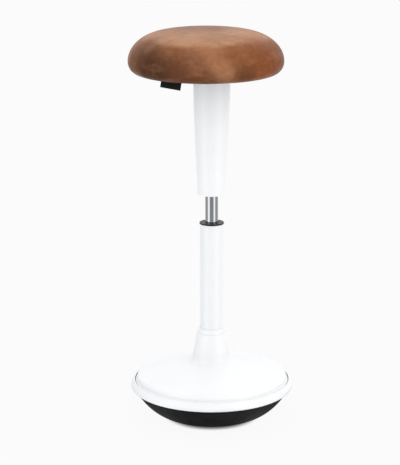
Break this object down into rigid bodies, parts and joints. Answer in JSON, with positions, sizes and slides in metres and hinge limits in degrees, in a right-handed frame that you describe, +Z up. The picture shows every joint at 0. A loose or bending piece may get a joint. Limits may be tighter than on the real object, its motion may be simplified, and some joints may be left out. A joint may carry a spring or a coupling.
{
  "type": "wobble stool",
  "caption": "Round padded height-adjustable stool on a weighted, domed base that rocks and rights itself.",
  "frame": {"origin": "on the floor under the middle of the base, on the column's axis", "axes": "+Z up along the column, -Y towards the camera of the picture, -X the seat's own front"},
  "size_m": [0.3515, 0.351, 0.8445],
  "materials": {
    "white_plastic": "gloss",
    "white_paint": "gloss",
    "plain_steel": "satin",
    "chrome_plate": "polished",
    "black_rubber": "matte",
    "black_plastic": "satin",
    "black_paint": "satin",
    "brass": "satin",
    "cast_iron": "matte",
    "plywood": "matte",
    "black_cloth": "matte",
    "foam": "matte",
    "brown_leather": "satin"
  },
  "bodies": {
    "base": {"rocker_sole": "black_rubber", "base_pan": "white_plastic", "pan_inserts": "brass", "base_cover": "white_plastic", "cover_screws": "plain_steel", "neck_ring": "white_plastic", "ballast_disc": "cast_iron", "hub_socket": "plain_steel", "hub_bolts": "plain_steel", "outer_tube": "white_paint", "tube_bottom_plate": "plain_steel", "guide_bush": "black_plastic", "wiper_ring": "black_rubber", "bearing_lower_race": "plain_steel", "bearing_balls": "plain_steel", "bearing_cage": "black_plastic"},
    "rod_stage": {"piston_rod": "chrome_plate", "bearing_upper_race": "plain_steel", "rubber_buffer": "black_rubber", "clip_washer": "plain_steel", "retaining_clip": "plain_steel", "piston": "plain_steel", "piston_seal": "black_rubber"},
    "seat_post": {"gas_cylinder": "chrome_plate", "pressure_tube": "plain_steel", "cylinder_gland": "plain_steel", "rod_seal": "black_rubber", "valve_body": "plain_steel", "upper_sleeve": "white_plastic", "sleeve_screws": "plain_steel", "seat_plate": "black_paint", "lever_pivot_pin": "plain_steel", "seat_board": "plywood", "tee_nuts": "plain_steel", "plate_washers": "plain_steel", "plate_bolts": "plain_steel", "dust_cover": "black_cloth", "cushion_foam": "foam", "leather_cover": "brown_leather", "label_tab": "black_cloth"},
    "lever": {"release_lever": "black_paint", "lever_grip": "black_plastic"},
    "valve": {"valve_pin": "plain_steel"}
  },
  "joints": [
    {"name": "swivel", "type": "hinge", "parent": "base", "child": "rod_stage", "pos_m": [0, 0, 0.07], "axis": [0, 0, 1], "continuous": true},
    {"name": "height", "type": "slide", "parent": "rod_stage", "child": "seat_post", "axis": [0, 0, 1], "range_m": [-0.254, 0]},
    {"name": "release_lever", "type": "hinge", "parent": "seat_post", "child": "lever", "pos_m": [0, 0.025, 0.753], "axis": [1, 0, 0], "range_deg": [0, 5.7], "stiffness_Nm_per_rad": 12},
    {"name": "valve_press", "type": "slide", "parent": "seat_post", "child": "valve", "axis": [0, 0, -1], "range_m": [0, 0.0026]}
  ],
  "couplings": [
    {"joint": "valve_press", "follows": "release_lever", "m_per_rad": 0.025}
  ]
}
